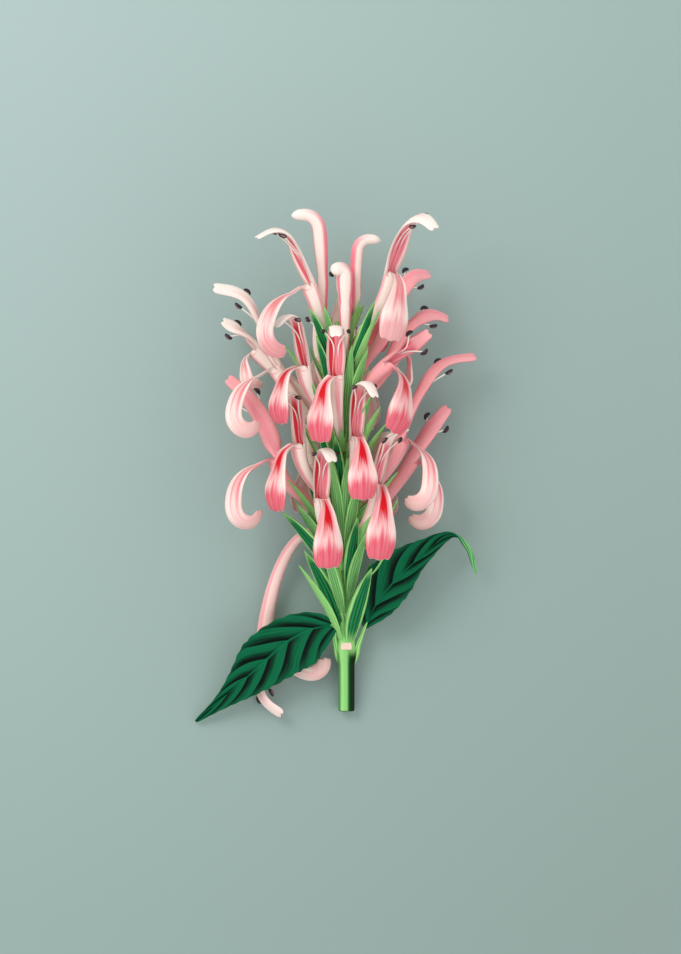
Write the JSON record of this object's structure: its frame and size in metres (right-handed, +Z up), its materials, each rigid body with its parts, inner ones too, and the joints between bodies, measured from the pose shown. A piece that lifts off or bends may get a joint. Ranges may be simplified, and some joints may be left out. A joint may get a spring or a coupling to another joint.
{
  "type": "plume flower stem",
  "caption": "Cut flowering stem lying on its side, with a plume of curved two-lipped pink flowers, hooked buds, green bracts and two pointed leaves.",
  "frame": {"origin": "middle of the footprint, on the surface that the stem lies on", "axes": "+Y along the stem from the cut end to the top of the plume, +Z up from the surface, +X to the right when the top of the plume points away"},
  "size_m": [0.1202, 0.2162, 0.0599],
  "materials": {
    "stem_green": "fresh green plant tissue, matt, finely ribbed",
    "leaf_green": "deep green leaf with a soft sheen",
    "petal_pink": "soft matt petal, pink with cream edges and a red throat",
    "bud_cream": "soft matt petal, cream with a pink stripe"
  },
  "bodies": {
    "root": {"stem": "stem_green", "left_leaf": "leaf_green", "right_leaf": "leaf_green", "flower_top_left": "petal_pink", "flower_top_right": "petal_pink", "flower_left": "petal_pink", "flower_middle": "petal_pink", "flower_right": "petal_pink", "flower_lower_middle": "petal_pink", "flower_lower_left": "petal_pink", "flower_front": "petal_pink", "flower_lower_right": "petal_pink", "flower_side_left_high": "petal_pink", "flower_side_left_mid": "petal_pink", "flower_side_left_low": "petal_pink", "flower_side_right_1": "petal_pink", "flower_side_right_2": "petal_pink", "flower_side_right_3": "petal_pink", "flower_side_right_4": "petal_pink", "flower_fallen": "petal_pink", "flower_under_1": "petal_pink", "flower_under_2": "petal_pink", "flower_under_3": "petal_pink", "flower_under_4": "petal_pink", "flower_under_5": "petal_pink", "flower_under_6": "petal_pink", "flower_under_7": "petal_pink", "bud_left": "bud_cream", "bud_middle": "bud_cream", "bud_right": "bud_cream"}
  },
  "joints": []
}
